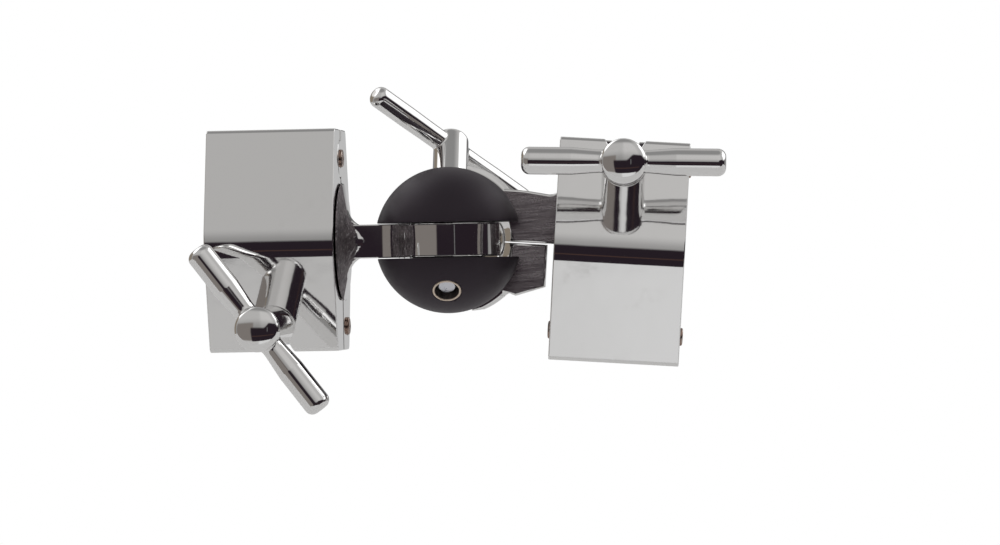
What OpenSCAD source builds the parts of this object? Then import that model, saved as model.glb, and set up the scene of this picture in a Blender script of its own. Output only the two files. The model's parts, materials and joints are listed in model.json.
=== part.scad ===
// Swivel connector that joins two rack tubes nearly in line.
// Each tube is gripped by a split block clamp with a hinged front jaw, a swing bolt and a wing nut.
// A flat eye on the left clamp sits in the slot of a two-part ball.
// The ball sits in a cup on the right clamp, and one T-handled draw bolt at 45 degrees locks it all.
// X runs along the left tube, Y points away from the front, Z is up. Origin: centre of the left bore.

/* [Tube clamps] */
// Diameter of the rack tube
tube_d = 38.1; // [37.8:0.1:38.4]
// Width of a clamp along its tube
clamp_w = 45; // [42:1:50]
// Height of a clamp
clamp_h = 77; // [76:0.5:80]
// Rise of a clamp's middle above the bore's centre, towards the hinge
block_rise = 0.8; // [0:0.1:1]
// Depth from the middle of a clamp to its rounded crest
crest_depth = 24; // [23.5:0.5:26]
// Radius of the rounded crest
crest_r = 20; // [16:1:22]
// Tilt of the flat faces above and below the crest
face_tilt = 15; // [12:1:17]
// Gap between the two jaws
seam = 1.2; // [0.8:0.1:1.6]
// Height of the hinge pin above the bore's centre
hinge_z = 29.2; // [28.5:0.1:30]
// Drop of the swing bolt below the bore's centre
bolt_drop = 29.4; // [29:0.1:30]
// Distance of the swing bolt's pivot behind the jaws' seam
pivot_y = 9.8; // [9:0.1:11]

/* [Wing nuts] */
// Length of a wing nut's bar
nut_bar_l = 69; // [60:1:74]
// Distance from the seam to the middle of the bar
nut_reach = 48.4; // [44:0.2:50]
// Turn of the left nut's bar from the tube's direction
left_nut_turn = -52.6; // [-90:0.1:90]
// Turn of the right nut's bar from the tube's direction
right_nut_turn = 2.5; // [-90:0.1:90]

/* [Ball joint] */
// Diameter of the ball
ball_d = 51; // [50:0.2:52]
// Distance from the ball's centre to the middle of each clamp
clamp_reach = 59.8; // [59:0.2:64]
// Thickness of the eye in the ball's slot
eye_t = 11.7; // [11:0.1:12]
// Radius of the eye
eye_r = 18; // [17.5:0.1:19]
// Radius of the spigot that the eye turns on
spigot_r = 12.6; // [12.4:0.1:13]
// Turn of the ball about the upright axis, away from the left clamp's line
ball_yaw = 3.5; // [-10:0.5:10]
// Roll of the cup about the ball's front-to-back axis
cup_roll = 4.2; // [-15:0.1:15]

/* [Draw bolt] */
// Angle of the draw bolt above the horizontal
draw_tilt = 45; // [43:0.5:47]
// Length of the T-bar on the draw bolt
draw_bar_l = 75; // [66:1:80]
// Turn of that T-bar about the bolt
draw_bar_turn = 46.5; // [-90:0.5:90]

/* [Hidden] */
$fn = 72;

// Clearances
slack = 0.05;      // radial, between a turning part and its pin or hole
gap = 0.3;         // between neighbours that slide past each other
free = 0.4;        // around the hinge knuckles
far = 50;          // past every solid, for cuts

// Clamp blocks
bore_r = tube_d / 2 + slack;
top_z = clamp_h / 2 + block_rise;
low_z = block_rise - clamp_h / 2;
corner = 0.9;      // bevel on the outer long edges
crest_steps = 10;  // straight steps along the rounded crest
crest_mid = crest_depth - crest_r;
relief = 9;        // lean of the seam faces above the hinge, so the jaw can open

// Hinge and bolt pins
pin_r = 3.1;
pin_proud = 1;
pin_edge = 0.6;
knuckle_r = 6.6;
knuckle_w = 21;

// Swing bolts
shank_r = 4;
bolt_eye_r = 6.2;
bolt_eye_w = 8.4;
fork_w = 9.2;
fork_top = 6.9;
bolt_end_y = 39;
notch_r = 4.5;
notch_mouth_w = 14;
notch_flare = 4.5;

// Wing nuts
nut_head_r = 7.7;
nut_head_h = 3.3;    // depth of the head's front dome
nut_head_out = 4.2;  // distance of the dome's rim in front of the bar's middle
nut_head_under = 18; // degrees of the dome below its rim, down to the groove above the hub
nut_groove = 0.3;
nut_hub_r = 7.6;
nut_seat_slack = 0.35;
nut_bore_end = 40;
nut_bar_r = 4.65;
nut_neck_r = 3.9;
bar_thick_l = 16.9;
bar_taper_l = 8.8;
bar_round = 2.5;

// Ball, eye and draw bolt
ball_r = ball_d / 2;
slot_half = eye_t / 2 + gap;
eye_edge = 0.3;
eye_bore_r = spigot_r + slack;
spigot_top = slot_half + 1.3;
draw_hole_r = shank_r + 0.1;
insert_r = 5;
insert_out = ball_r - 0.4;
insert_in = 15;
bolt_recess = 2.2;
bolt_chamfer = 1.2;
draw_bolt_end = 45;

// Tongue and its root on the left clamp
neck_d = 5;        // half the neck's thickness
neck_fillet = 12.9;
neck_turn = 70;    // how far round the neck's fillets go before they meet the eye
neck_sink = 0.15;  // how far inside the eye's rim the neck's edges end
root_fillet = 8;
root_plate = 2;    // height of the closing plate at its middle
root_rim = 0.8;    // and at its rim
root_sink = 0.1;   // how far inside the neck's faces the round fillet ends
root_r = 20.5;
root_overlap = 19.8;

// Cup and arms on the right clamp
cup_in_r = ball_r + gap;
cup_out_r = 31.6;
cup_edge_r = 26.6;  // round edge of the cup, seen from the front
cup_edge_at = [1.55, 0.3];
cup_face_y = 14;
arm_back_y = 23;
arm_from = 14;
slit_z = 0.5;
slit_w = 0.4;
slit_from = 19;
arm_top = 18;
arm_rise = 1;      // rise of the upper arm's edge where it meets the cup
arm_slope = [4, 6];
arm_low = -14.6;
arm_dip = 3.6;       // dip of the lower arm's edge where it meets the cup
rim_from = 25.4;     // the cup's front rim slopes back outside this radius
rim_slope = 0.58;
rim_gap = [-35.6, 10];  // where the front rim is cut away, in degrees right of the top
rim_gap_r = 24.8;
rim_gap_deep = [3, 5];  // depth of that cut at its inner and outer side
arm_end_gap = 3.1;
arm_fillet = 3.2;
lobe_from = 9;
lobe_tip = -24.3;    // the cup's lower edge tapers to this height at lobe_from
lobe_run = [11, 1.9];
shelf_z = 9.8;
shelf_tilt = 18;
roll_range = 15.6;
slot_w = 9;
slot_in = 20;      // the slot's inner and outer reach along the draw bolt
slot_out = 40;

seat_r = 28.4;       // the washer's seat, sunk into the cup's back
seat_w = 13.8;

// Draw handle
washer_r = 6.3;
washer_top = 29.7;
hub_from = washer_top + gap;
hub_end = 51.5;
hub_r = 6.25;
hub_round = 2.4;
draw_bar_at = 46.5;
draw_bar_r = 3.9;
draw_neck_r = 3.75;

// Depth of a clamp's flat face at height z, measured from the seam's middle
function face_depth(z) =
    crest_mid + crest_r * cos(face_tilt) - (abs(z) - crest_r * sin(face_tilt)) * tan(face_tilt);

// Base of a wing nut: its inner edge just clears the tilted face
nut_base = face_depth(bolt_drop - nut_hub_r) + nut_seat_slack;

// Outline of the back jaw as [y, z] points; the front jaw mirrors it
half_outline = concat(
    [[seam / 2, low_z], [face_depth(low_z) - corner, low_z]],
    [[face_depth(low_z + corner), low_z + corner]],
    [for (i = [0 : crest_steps]) let (a = face_tilt * (2 * i / crest_steps - 1))
        [crest_mid + crest_r * cos(a), crest_r * sin(a)]],
    [[face_depth(top_z - corner), top_z - corner], [face_depth(top_z) - corner, top_z]],
    [[seam / 2 + (top_z - hinge_z) * tan(relief), top_z], [seam / 2, hinge_z]]
);

// Half outline of a bar with rounded ends, as [radius, place along the bar]
function bar_end(r, half, s) =
    [for (i = [0 : 4]) let (a = 22.5 * (s > 0 ? i : 4 - i))
        [r - bar_round + bar_round * cos(a), s * (half - bar_round + bar_round * sin(a))]];
function bar_outline(half, r, neck_r, thick_l, taper_l) = concat(
    [[0, -half]],
    bar_end(r, half, -1),
    [[r, thick_l - half], [neck_r, thick_l + taper_l - half]],
    [[neck_r, half - thick_l - taper_l], [r, half - thick_l]],
    bar_end(r, half, 1),
    [[0, half]]
);

// Extrude a [y, z] outline along X
module along_x(l) {
    rotate([90, 0, 90]) linear_extrude(height = l, center = true) children();
}

// Extrude an [x, z] outline along Y, from y0 to y1
module along_y(y0, y1) {
    translate([0, y1, 0]) rotate([90, 0, 0]) linear_extrude(height = y1 - y0) children();
}

// Round bar along X
module x_rod(r, l) {
    rotate([0, 90, 0]) cylinder(r = r, h = l, center = true);
}

module in_ball_frame() {
    translate([clamp_reach, 0, 0]) rotate([0, 0, ball_yaw]) children();
}

module in_cup_frame() {
    in_ball_frame() rotate([0, cup_roll, 0]) children();
}

// The right clamp is the left one turned half round about the front-to-back axis
module in_right_clamp() {
    in_cup_frame() translate([clamp_reach, 0, 0]) rotate([0, 180, 0]) children();
}

// Local Z runs up and back along the draw bolt, from the ball's centre
module in_draw_frame() {
    in_ball_frame() rotate([draw_tilt - 90, 0, 0]) children();
}

module half_block(side) {
    along_x(clamp_w) polygon([for (p = half_outline) [side * p[0], p[1]]]);
}

// One rod on the hinge line for each of the two outer knuckles
module outer_knuckles(r, clear) {
    w = (clamp_w - knuckle_w) / 2 - clear;
    for (side = [-1, 1])
        translate([side * (clamp_w - w) / 2, 0, hinge_z]) x_rod(r, w);
}

// Bore from a clamp's open end to its inner end, where the casting closes it
module blind_bore() {
    translate([-1, 0, 0]) x_rod(bore_r, clamp_w + 2);
}

module bolt_notch() {
    along_y(-crest_depth, 0) {
        translate([0, -bolt_drop]) circle(r = notch_r);
        polygon([
            [-notch_r, -bolt_drop], [-notch_r, low_z + notch_flare], [-notch_mouth_w / 2, low_z],
            [-notch_mouth_w / 2, low_z - 1], [notch_mouth_w / 2, low_z - 1],
            [notch_mouth_w / 2, low_z], [notch_r, low_z + notch_flare], [notch_r, -bolt_drop]
        ]);
    }
}

module front_jaw() {
    color("silver") difference() {
        union() {
            difference() {
                half_block(-1);
                outer_knuckles(knuckle_r + free, 0);
            }
            translate([0, 0, hinge_z]) x_rod(knuckle_r, knuckle_w);
        }
        x_rod(bore_r, clamp_w + 2);
        translate([0, 0, hinge_z]) x_rod(pin_r + slack, clamp_w);
        bolt_notch();
    }
}

// Holes that hold the hinge pin and the pin of the swing bolt
module pin_holes(l) {
    translate([0, 0, hinge_z]) x_rod(pin_r + slack / 2, l);
    translate([0, pivot_y, -bolt_drop]) x_rod(pin_r + slack / 2, l);
}

// Back half of a clamp without its bore: hinge knuckles, pin holes and the fork for the swing bolt
module back_jaw_blank() {
    difference() {
        union() {
            difference() {
                half_block(1);
                translate([0, 0, hinge_z]) x_rod(knuckle_r + free, knuckle_w + 2 * free);
            }
            outer_knuckles(knuckle_r, free);
        }
        pin_holes(clamp_w + 2);
        translate([-fork_w / 2, -1, low_z - 1])
            cube([fork_w, crest_depth + 2, fork_top - bolt_drop - low_z + 1]);
    }
}

module clamp_pin() {
    half_l = clamp_w / 2 + pin_proud;
    color("dimgray") rotate([0, 90, 0]) rotate_extrude() polygon([
        [0, -half_l], [pin_r - pin_edge, -half_l], [pin_r, pin_edge - half_l],
        [pin_r, half_l - pin_edge], [pin_r - pin_edge, half_l], [0, half_l]
    ]);
}

module hinge_pin() {
    translate([0, 0, hinge_z]) clamp_pin();
}

module bolt_pin() {
    translate([0, pivot_y, -bolt_drop]) clamp_pin();
}

module swing_bolt() {
    color("silver") translate([0, pivot_y, -bolt_drop]) difference() {
        union() {
            x_rod(bolt_eye_r, bolt_eye_w);
            rotate([90, 0, 0]) cylinder(r = shank_r, h = bolt_end_y + pivot_y);
        }
        x_rod(pin_r + slack, bolt_eye_w + 2);
    }
}

// Outline of a wing nut's hub and of its domed head, as [radius, distance from the seam]
function hub_and_head() =
    let (rim_z = nut_reach + nut_head_out)
    let (low_z = rim_z - nut_head_h * sin(nut_head_under))
    concat(
        [[0, nut_base], [nut_hub_r, nut_base], [nut_hub_r, low_z - nut_groove]],
        [for (i = [0 : 12]) let (a = (90 + nut_head_under) * i / 12 - nut_head_under)
            [nut_head_r * cos(a), rim_z + nut_head_h * sin(a)]]
    );

module wing_nut(turn) {
    color("silver") translate([0, 0, -bolt_drop]) rotate([90, 0, 0]) difference() {
        union() {
            rotate_extrude() polygon(hub_and_head());
            translate([0, 0, nut_reach]) rotate([0, 0, turn]) rotate([0, 90, 0]) rotate_extrude()
                polygon(bar_outline(nut_bar_l / 2, nut_bar_r, nut_neck_r, bar_thick_l, bar_taper_l));
        }
        translate([0, 0, nut_base - 1]) cylinder(r = shank_r + slack, h = nut_bore_end - nut_base + 1);
    }
}

// Plan of the neck, widening in two fillets to the eye, as [x, y] from the ball's centre
module neck_plan() {
    from_x = clamp_w / 2 - clamp_reach;
    tip_y = neck_d + neck_fillet * (1 - cos(neck_turn));
    tip_x = -sqrt(pow(eye_r - neck_sink, 2) - pow(tip_y, 2));
    mid_x = tip_x - neck_fillet * sin(neck_turn);
    mid_y = neck_d + neck_fillet;
    polygon(concat(
        [[from_x + gap, seam / 2], [from_x + gap, -neck_d]],
        [for (i = [0 : 8]) let (a = 90 - neck_turn * i / 8)
            [mid_x + neck_fillet * cos(a), neck_fillet * sin(a) - mid_y]],
        [[0, 0]],
        [for (i = [0 : 8]) let (a = neck_turn * (1 - i / 8) - 90)
            [mid_x + neck_fillet * cos(a), mid_y + neck_fillet * sin(a)]],
        [[from_x - 1, neck_d], [from_x - 1, seam / 2]]
    ));
}

// Low cone that closes the left bore's end and rises to the neck in a round fillet
module tongue_root() {
    face_x = clamp_w / 2;
    end_r = neck_d - root_sink;
    top_x = face_x + root_plate + root_fillet;
    standing_on_x(0) rotate_extrude() polygon(concat(
        [[0, face_x + gap], [root_r, face_x + gap], [root_r, face_x + root_rim]],
        [for (i = [0 : 8]) let (a = -90 - 11.25 * i)
            [end_r + root_fillet * (1 + cos(a)), top_x + root_fillet * sin(a)]],
        [[0, top_x]]
    ));
    intersection() {
        standing_on_x(face_x - 1) cylinder(r = root_overlap, h = 1 + root_rim);
        along_y(seam / 2, crest_depth) translate([face_x, 0]) square(2 * root_r, center = true);
    }
}

// Turns what stands on Z to point along X, from from_x
module standing_on_x(from_x) {
    translate([from_x, 0, 0]) rotate([0, 90, 0]) children();
}

module eye_ring() {
    half_t = eye_t / 2;
    rotate_extrude() polygon([
        [eye_bore_r, -half_t], [eye_r - eye_edge, -half_t], [eye_r, eye_edge - half_t],
        [eye_r, half_t - eye_edge], [eye_r - eye_edge, half_t], [eye_bore_r, half_t]
    ]);
}

module tongue_jaw() {
    color("silver") difference() {
        union() {
            back_jaw_blank();
            tongue_root();
            translate([clamp_reach, 0, 0]) {
                difference() {
                    linear_extrude(height = eye_t, center = true) neck_plan();
                    cylinder(r = eye_r - 1, h = eye_t + 2, center = true);
                }
                eye_ring();
            }
        }
        blind_bore();
        pin_holes(clamp_w + 4);
    }
}

module ball_blank() {
    sphere(r = ball_r, $fn = 96);
}

module draw_hole(r, from, to) {
    rotate([draw_tilt - 90, 0, 0]) translate([0, 0, from]) cylinder(r = r, h = to - from);
}

module ball_lower_half() {
    color([0.16, 0.14, 0.15]) in_ball_frame() difference() {
        union() {
            intersection() {
                ball_blank();
                translate([0, 0, -slot_half - ball_r]) cube(2 * ball_r, center = true);
            }
            translate([0, 0, -slot_half - 1]) cylinder(r = spigot_r, h = spigot_top + slot_half + 1);
        }
        draw_hole(draw_hole_r, -ball_r - 1, ball_r);
        draw_hole(insert_r + slack / 2, -ball_r - 1, -insert_in);
    }
}

module ball_upper_half() {
    color([0.16, 0.14, 0.15]) in_ball_frame() difference() {
        intersection() {
            ball_blank();
            translate([0, 0, slot_half + ball_r]) cube(2 * ball_r, center = true);
        }
        translate([0, 0, slot_half - 1]) cylinder(r = spigot_r + gap / 2, h = spigot_top - slot_half + 1.2);
        draw_hole(draw_hole_r, 0, ball_r + 1);
    }
}

module threaded_insert() {
    color("tan") in_draw_frame() difference() {
        translate([0, 0, -insert_out]) cylinder(r = insert_r, h = insert_out - insert_in);
        translate([0, 0, -insert_out - 1]) cylinder(r = shank_r + slack, h = insert_out - insert_in + 2);
    }
}

module saddle_washer() {
    color("silver") in_draw_frame() difference() {
        cylinder(r = washer_r, h = washer_top);
        sphere(r = seat_r + slack);
        cylinder(r = shank_r + slack, h = washer_top + 1);
    }
}

module draw_bolt() {
    tip = insert_out - bolt_recess;
    color("silver") in_draw_frame() rotate_extrude() polygon([
        [0, -tip], [shank_r - bolt_chamfer, -tip], [shank_r, bolt_chamfer - tip],
        [shank_r, draw_bolt_end], [0, draw_bolt_end]
    ]);
}

module draw_handle() {
    color("silver") in_draw_frame() difference() {
        union() {
            rotate_extrude() polygon(concat(
                [[0, hub_from], [hub_r, hub_from], [hub_r, hub_end - hub_round]],
                [for (i = [1 : 5]) let (a = 18 * i)
                    [hub_r - hub_round + hub_round * cos(a), hub_end - hub_round + hub_round * sin(a)]],
                [[0, hub_end]]
            ));
            translate([0, 0, draw_bar_at]) rotate([0, 0, draw_bar_turn]) rotate([0, 90, 0]) rotate_extrude()
                polygon(bar_outline(draw_bar_l / 2, draw_bar_r, draw_neck_r, bar_thick_l, bar_taper_l));
        }
        translate([0, 0, hub_from - 1]) cylinder(r = shank_r + slack / 2, h = draw_bolt_end - hub_from + 1.2);
    }
}

// Outlines of the two arms as [x, z] from the ball's centre, seen from the front
module upper_arm_outline() {
    face_x = clamp_reach - clamp_w / 2;
    polygon(concat(
        [[arm_from, slit_z], [face_x + 1, slit_z], [face_x + 1, arm_top + arm_fillet]],
        [for (i = [0 : 4]) let (a = -22.5 * i)
            [face_x - arm_fillet + arm_fillet * cos(a), arm_top + arm_fillet + arm_fillet * sin(a)]],
        [[cup_in_r - arm_rise, arm_top + arm_rise], [arm_from + arm_slope[0], arm_top + arm_rise]],
        [[arm_from, arm_top - arm_slope[1]]]
    ));
}

module lower_arm_outline() {
    face_x = clamp_reach - clamp_w / 2;
    polygon([
        [arm_from, slit_z], [face_x - arm_end_gap, slit_z], [face_x - arm_end_gap, arm_low],
        [cup_in_r - arm_dip / 2, arm_low - arm_dip], [arm_from, arm_low]
    ]);
}

// Point at t along the draw bolt and aside from it, as [distance from the roll axis, place along it]
function beside_bolt(t, aside) = [
    t * sin(draw_tilt) + aside * cos(draw_tilt),
    t * cos(draw_tilt) - aside * sin(draw_tilt)
];

// Turns a profile about the roll axis, between two angles from the top
module swept(from_a, to_a) {
    rotate([-90, 0, 0]) rotate([0, 0, from_a - 90]) rotate_extrude(angle = to_a - from_a) children();
}

// Slot along which the draw bolt follows the ball as it rolls in the cup, w wide, from radius r_in outwards
module bolt_path(w, r_in) {
    reach = roll_range + asin(w / 2 / (seat_r * sin(draw_tilt)));
    swept(-reach, reach) polygon([
        beside_bolt(r_in, -w / 2), beside_bolt(r_in, w / 2),
        beside_bolt(slot_out, w / 2), beside_bolt(slot_out, -w / 2)
    ]);
}

module cup_and_arms() {
    difference() {
        union() {
            intersection() {
                sphere(r = cup_out_r, $fn = 96);
                along_y(cup_face_y, far) translate(cup_edge_at) circle(r = cup_edge_r);
                rotate([-90, 0, 0]) rotate_extrude() polygon([
                    [0, cup_face_y - 1], [rim_from, cup_face_y - 1], [rim_from, cup_face_y],
                    [far, cup_face_y + (far - rim_from) * rim_slope], [0, far]
                ]);
            }
            along_y(cup_face_y, arm_back_y) upper_arm_outline();
            along_y(cup_face_y, arm_back_y) lower_arm_outline();
        }
        sphere(r = cup_in_r, $fn = 96);
        translate([slit_from, 0, slit_z - slit_w / 2])
            cube([clamp_reach - clamp_w / 2 - slit_from, cup_out_r + 1, slit_w]);
        along_y(0, cup_out_r + 1) polygon([
            [lobe_from + lobe_run[0], -far], [lobe_from + lobe_run[0], lobe_tip + lobe_run[1]],
            [lobe_from, lobe_tip], [lobe_from, shelf_z], [0, shelf_z],
            [-far, shelf_z + far * tan(shelf_tilt)], [-far, -far]
        ]);
        bolt_path(slot_w, slot_in);
        difference() {
            bolt_path(seat_w, slot_in);
            sphere(r = seat_r, $fn = 96);
        }
        swept(rim_gap[0], rim_gap[1]) polygon([
            [rim_gap_r, cup_face_y - 1], [cup_out_r + 2, cup_face_y - 1],
            [cup_out_r + 2, cup_face_y + rim_gap_deep[1]], [rim_gap_r, cup_face_y + rim_gap_deep[0]]
        ]);
    }
}

module yoke_jaw() {
    color("silver") difference() {
        union() {
            in_right_clamp() back_jaw_blank();
            in_cup_frame() cup_and_arms();
        }
        in_right_clamp() blind_bore();
    }
}

tongue_jaw();
front_jaw();  // left_front_jaw
hinge_pin();  // left_hinge_pin
bolt_pin();  // left_bolt_pin
swing_bolt();  // left_swing_bolt
wing_nut(left_nut_turn);  // left_wing_nut
ball_lower_half();
ball_upper_half();
threaded_insert();
saddle_washer();
draw_bolt();
draw_handle();
yoke_jaw();
in_right_clamp() front_jaw();  // right_front_jaw
in_right_clamp() hinge_pin();  // right_hinge_pin
in_right_clamp() bolt_pin();  // right_bolt_pin
in_right_clamp() swing_bolt();  // right_swing_bolt
in_right_clamp() wing_nut(right_nut_turn);  // right_wing_nut
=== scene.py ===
"""Dresses the tube connector: plated castings, cast handles, threads and a slotted ball, in a soft studio."""
import json
import math

import bmesh
import bpy
import numpy as np
from mathutils import Matrix, Vector


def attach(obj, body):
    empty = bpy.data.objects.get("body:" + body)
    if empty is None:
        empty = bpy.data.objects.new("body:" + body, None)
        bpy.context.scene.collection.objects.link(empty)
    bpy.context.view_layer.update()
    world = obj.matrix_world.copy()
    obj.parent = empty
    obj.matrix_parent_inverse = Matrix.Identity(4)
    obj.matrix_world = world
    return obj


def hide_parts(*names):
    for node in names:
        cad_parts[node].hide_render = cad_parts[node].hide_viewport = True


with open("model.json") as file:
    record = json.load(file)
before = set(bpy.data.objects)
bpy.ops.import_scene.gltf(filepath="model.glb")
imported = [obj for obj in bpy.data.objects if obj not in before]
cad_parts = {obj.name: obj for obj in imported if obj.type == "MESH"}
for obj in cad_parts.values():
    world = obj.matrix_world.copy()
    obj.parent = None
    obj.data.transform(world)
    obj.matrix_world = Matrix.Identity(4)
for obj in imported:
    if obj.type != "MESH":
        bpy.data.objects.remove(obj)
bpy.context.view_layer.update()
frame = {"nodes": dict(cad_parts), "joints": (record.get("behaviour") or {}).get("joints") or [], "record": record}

MM = 0.001

# Borders of the castings' finishes, in mm
BORE_R = 19.1
BORE_BAND = (BORE_R - 0.6, BORE_R + 0.2)
PLATE_X = (22.6, 28.0)
PLATE_R = 20.8
PLATE_RIM_X = 25.0
PLATE_ROUGH_TO = -3.0
ARM_FACE_Y = 14.0
ARM_FACE_NEAR = 0.05
ARM_EDGE_NEAR = 0.1
CUP_TO_X = 21.0

# Borders of the castings' finishes, as parts of a face's normal
BORE_INWARD = -0.6
BORE_LEAN = 0.5
PLATE_OUTWARD = 0.08
ARM_FORWARD = -0.99

# Rounding of sharp edges, in mm
BLOCK_EDGE = 0.4
ARM_EDGE = 0.8
CUP_EDGE = 0.15
BALL_EDGE = 0.35
SADDLE_EDGE = 0.2
EDGE_SEGMENTS = 3
MERGE_M = 2e-6
SHARP = math.radians(33)
FLAT = math.radians(0.5)

# Bolts, pins and the insert, in mm; heights are along each one's own axis
SHANK_R = 4.0
SLACK = 0.05
PITCH = 1.25
RINGS_PER_TURN = 8
THREAD_DEPTH = 0.62
THREAD_CREST = 1.35
THREAD_FLANK = 3.2
THREAD_RUN_OUT = 0.6
THREAD_STEP_OFF = 0.2
TIP_CHAMFER = 1.2
TIP_RINGS = 6
BOLT_EYE_R = 6.2
BOLT_EYE_BORE_R = 3.15
BOLT_EYE_HALF = 4.2
BOLT_EYE_CUT = 0.6
BOLT_EYE_RIM = 0.3
BOLT_TIP = -48.8
BOLT_THREAD_TO = -18.0
BOLT_PLAIN_TO = -4.6
DRAW_TIP = -22.9
DRAW_THREAD_TO = -10.0
DRAW_TOP = 45.0
PIN_HALF = 23.5
PIN_CUT = 0.5
PIN_RIM_R = 2.5
# Radius and depth of the points of a pin's end: centre mark, low dome and chamfer
PIN_END = [(0, -0.02), (0.35, 0.12), (0.6, -0.05), (2.1, 0), (2.6, 0.08), (2.95, 0.225), (3.1, PIN_CUT)]
INSERT_R = 5.0
INSERT_IN = -15.0
INSERT_MOUTH = -25.1
INSERT_BORE_R = SHANK_R + SLACK
INSERT_LIP = 0.25
INSERT_LIP_R = 4.8
INSERT_FACE_R = 4.35
INSERT_CHAMFER = (0.1, 0.3)
INSERT_THREAD_FROM = 0.5
INSERT_THREAD_TO = -15.6
# Faces of the insert nearer the bore than the first number and further in from the mouth than the second get
# painted shade
INSERT_SHADE_BORDER = (0.45, 0.28)
# Depth and height of the points of one ring of the insert's thread
INSERT_RING = [(0.5, 0), (0.5, 0.1), (0, 0.45), (0, 0.6)]

# Wing nuts, in mm, with heights along the bolt from the clamp's seam
NUT_REACH = 48.4
NUT_TURN = {"left": -52.6, "right": 2.5}
NUT_BASE = 19.15
NUT_BORE_END = 39.5
NUT_SEAT_CUT = 1.0
NUT_HEAD_R = 7.7
NUT_HEAD_H = 3.3
NUT_HEAD_AT = NUT_REACH + 4.2
NUT_HEAD_SEGMENTS = 64
NUT_HEAD_FILLET = 0.12
NUT_HUB_R = 7.6
NUT_HUB_TOP = NUT_HEAD_AT - 1.35
NUT_BAR_L = 69.0
NUT_BAR_R = 4.65
NUT_NECK_R = 3.9

# Handle of the draw bolt, in mm, with heights along the bolt from the ball's centre
DRAW_SLACK = 0.03
DRAW_SEAT_CUT = 0.8
DRAW_HUB_R = 6.25
DRAW_HUB_ROUND = 2.4
DRAW_FOOT_ROUND = 0.4
DRAW_HUB_FROM = 30.0
DRAW_HUB_END = 51.5
DRAW_HUB_OVERLAP = 6.0
DRAW_BAR_L = 75.0
DRAW_BAR_R = 3.9
DRAW_NECK_R = 3.75
DRAW_BAR_AT = 46.5
DRAW_BAR_TURN = 46.5

# Both kinds of bar, in mm
BAR_THICK_L = 16.9
BAR_TAPER_L = 8.8
BAR_END_ROUND = 2.8
BAR_FILLET = 0.7
BORE_ROUND = 0.3
BORE_PAST = 5.0

# How finely skins are made; the weld, the nearness to a skin, the voxel and the step are in mm
LATHE_STEPS = 72
SMALL_LATHE_STEPS = 48
WELD = 1e-4
ON_SKIN = 0.01
VOXEL = 0.25
EASE = 0.5
EASE_ROUNDS = 12
LAY_ROUNDS = 4
LAY_STEP = 0.002
LEAST_SLOPE = 0.25

record = frame["record"]
joint = {j["name"]: j for j in frame["joints"]}
mount = {m["name"]: m for m in record["mounts"]}
body_of = {node: body for body, nodes in record["behaviour"]["bodies"].items() for node in nodes}


def axes_matrix(x, y, z, origin):
    """Matrix that takes mm in a local frame to metres in the connector's frame."""
    turn = Matrix((x, y, z)).transposed().to_4x4()
    return Matrix.Translation(origin) @ turn @ Matrix.Scale(MM, 4)


def clamp_matrix(side):
    """Frame of a clamp: X along its bore, Y away from the front, Z towards its hinge."""
    x = Vector(joint[side + "_bolt_swing"]["axis"])
    y = -Vector(joint[side + "_nut_spin"]["axis"])
    return axes_matrix(x, y, x.cross(y), Vector(mount[side + "_tube_clamp"]["pos_m"]))


def in_clamp(side, name):
    """Place of one of a clamp's joints, in mm in the clamp's frame."""
    return CLAMP[side].inverted() @ Vector(joint[side + name]["pos_m"])


def quarter(axis, sign=1):
    """Matrix of a quarter turn."""
    return Matrix.Rotation(math.radians(90 * sign), 4, axis)


ball_centre = Vector(joint["tongue_swing"]["pos_m"])
draw_axis = Vector(joint["ball_twist"]["axis"])
roll_axis = Vector(joint["cup_roll"]["axis"])
swing_axis = Vector(joint["tongue_swing"]["axis"])
ball_x = roll_axis.cross(swing_axis)
cup_x = Vector(mount["right_tube_clamp"]["axis"])

CLAMP = {side: clamp_matrix(side) for side in ("left", "right")}
DRAW = axes_matrix(ball_x, draw_axis.cross(ball_x), draw_axis, ball_centre)
CUP = axes_matrix(cup_x, roll_axis, cup_x.cross(roll_axis), ball_centre)
BOLT_DROP = {side: in_clamp(side, "_nut_spin").z for side in CLAMP}
PIVOT = {side: in_clamp(side, "_bolt_swing") for side in CLAMP}
HINGE = {side: in_clamp(side, "_jaw_open") for side in CLAMP}


# Camera

CAMERA_AZIMUTH = 5.5
CAMERA_ROLL = -1.05
CAMERA_DISTANCE = 1.5
CAMERA_CLIP = (0.05, 20)
FRAME_WIDTH_AT_BALL = 0.3483
AIM_RIGHT = 17.8 * MM
AIM_UP = -11.64 * MM
SENSOR = 36.0


def add_camera():
    a = math.radians(CAMERA_AZIMUTH)
    back = Vector((math.sin(a), -math.cos(a), 0))
    right = Vector((math.cos(a), math.sin(a), 0))
    aim = ball_centre + AIM_RIGHT * right + Vector((0, 0, AIM_UP))
    data = bpy.data.cameras.new("camera")
    data.sensor_width = SENSOR
    data.lens = SENSOR * CAMERA_DISTANCE / FRAME_WIDTH_AT_BALL
    data.clip_start, data.clip_end = CAMERA_CLIP
    camera = bpy.data.objects.new("camera", data)
    camera.location = aim + back * CAMERA_DISTANCE
    turn = (-back).to_track_quat("-Z", "Y").to_matrix()
    roll = Matrix.Rotation(math.radians(CAMERA_ROLL), 3, "Z")
    camera.rotation_euler = (turn @ roll).to_euler()
    bpy.context.scene.collection.objects.link(camera)
    bpy.context.scene.camera = camera


# Node trees

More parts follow.
